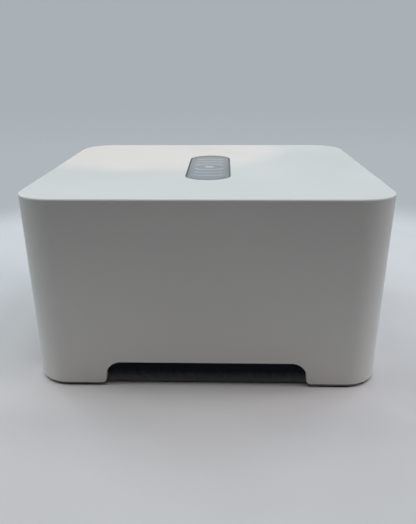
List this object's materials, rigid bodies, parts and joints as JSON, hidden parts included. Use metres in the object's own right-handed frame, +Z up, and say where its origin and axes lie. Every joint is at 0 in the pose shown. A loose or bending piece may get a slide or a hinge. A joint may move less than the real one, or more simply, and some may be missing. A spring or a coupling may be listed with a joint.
{
  "type": "wireless router",
  "caption": "Tall square desktop wireless router: white cover with side cutouts and a top badge, buttons in front, network sockets, mains inlet and rocker behind.",
  "frame": {"origin": "middle of the case's footprint, on the surface that the feet stand on", "axes": "+Z up, +X out of the front (buttons and light), -X out of the rear (sockets); the wide cutouts face -Y and +Y"},
  "size_m": [0.14, 0.136, 0.0758],
  "materials": {
    "white_case": "satin",
    "dark_base": "fine texture",
    "foot_rubber": "matt",
    "screw_steel": "satin",
    "label_film": "satin",
    "badge_grey": "satin",
    "badge_light": "satin",
    "adhesive_foam": "matt",
    "panel_dark": "fine texture",
    "screw_black": "satin",
    "chassis_steel": "satin",
    "board_green": "solder resist",
    "jack_black": "satin",
    "jack_blue": "satin",
    "chip_black": "matt",
    "thermal_blue": "matt",
    "sink_aluminium": "brushed",
    "pin_nylon": "satin",
    "capacitor_sleeve": "gloss",
    "board_blue": "solder resist",
    "shield_tin": "satin",
    "standoff_brass": "satin",
    "lead_black": "satin",
    "reset_red": "satin",
    "button_white": "satin",
    "led_lens": "gloss",
    "clear_pipe": "gloss",
    "ribbon_film": "satin",
    "socket_cream": "satin",
    "board_tan": "solder resist",
    "insulation_film": "satin",
    "inlet_black": "fine texture",
    "pin_nickel": "bright",
    "rocker_black": "satin",
    "fuse_ceramic": "gloss",
    "choke_copper": "enamel",
    "capacitor_black": "gloss",
    "ferrite_grey": "matt",
    "winding_tape": "satin",
    "capacitor_green": "gloss",
    "harness_red": "satin"
  },
  "bodies": {
    "casing": {"top_cover": "white_case", "base_tray": "dark_base", "rubber_feet": "foot_rubber", "cover_screws": "screw_steel", "rating_label": "label_film", "badge_plate": "badge_grey", "badge_inlay": "badge_light", "badge_adhesive": "adhesive_foam", "rear_panel": "panel_dark", "rear_panel_screws": "screw_black", "chassis_shelf": "chassis_steel", "shelf_screws": "screw_steel", "main_board": "board_green", "main_board_screws": "screw_steel", "lan_jack_block": "jack_black", "wan_jack": "jack_blue", "lan_magnetics": "chip_black", "switch_chip": "chip_black", "processor": "chip_black", "thermal_pad": "thermal_blue", "heat_sink": "sink_aluminium", "heat_sink_pins": "pin_nylon", "memory_chips": "chip_black", "board_capacitors": "capacitor_sleeve", "card_socket": "jack_black", "radio_card": "board_blue", "radio_shield": "shield_tin", "card_standoffs": "standoff_brass", "card_screws": "screw_steel", "antenna_left": "board_green", "antenna_right": "board_green", "antenna_lead_left": "lead_black", "antenna_lead_right": "lead_black", "reset_switch": "chip_black", "front_board": "board_green", "front_board_screws": "screw_steel", "button_switches": "chip_black", "status_led": "led_lens", "light_pipe": "clear_pipe", "front_ribbon": "ribbon_film", "ribbon_sockets": "socket_cream", "supply_board": "board_tan", "supply_board_screws": "screw_steel", "insulation_sheet": "insulation_film", "mains_inlet": "inlet_black", "inlet_pins": "pin_nickel", "power_switch_body": "inlet_black", "mains_fuse": "fuse_ceramic", "filter_choke": "choke_copper", "bulk_capacitor": "capacitor_black", "transformer_core": "ferrite_grey", "transformer_winding": "winding_tape", "output_capacitors": "capacitor_green", "power_harness": "harness_red"},
    "pair_button": {"pair_button": "button_white", "pair_plunger": "pin_nylon"},
    "radio_button": {"radio_button": "button_white", "radio_plunger": "pin_nylon"},
    "reset_button": {"reset_button": "reset_red"},
    "power_rocker": {"power_rocker": "rocker_black"}
  },
  "joints": [
    {"name": "pair_press", "type": "slide", "parent": "casing", "child": "pair_button", "axis": [-1, 0, 0], "range_m": [0, 0.0004], "stiffness_N_per_m": 2000},
    {"name": "radio_press", "type": "slide", "parent": "casing", "child": "radio_button", "axis": [-1, 0, 0], "range_m": [0, 0.0004], "stiffness_N_per_m": 2000},
    {"name": "reset_press", "type": "slide", "parent": "casing", "child": "reset_button", "axis": [1, 0, 0], "range_m": [0, 0.0004], "stiffness_N_per_m": 2000},
    {"name": "power_rock", "type": "hinge", "parent": "casing", "child": "power_rocker", "pos_m": [-0.061, -0.014, 0.0194], "axis": [0, -1, 0], "range_deg": [0, 22]}
  ]
}
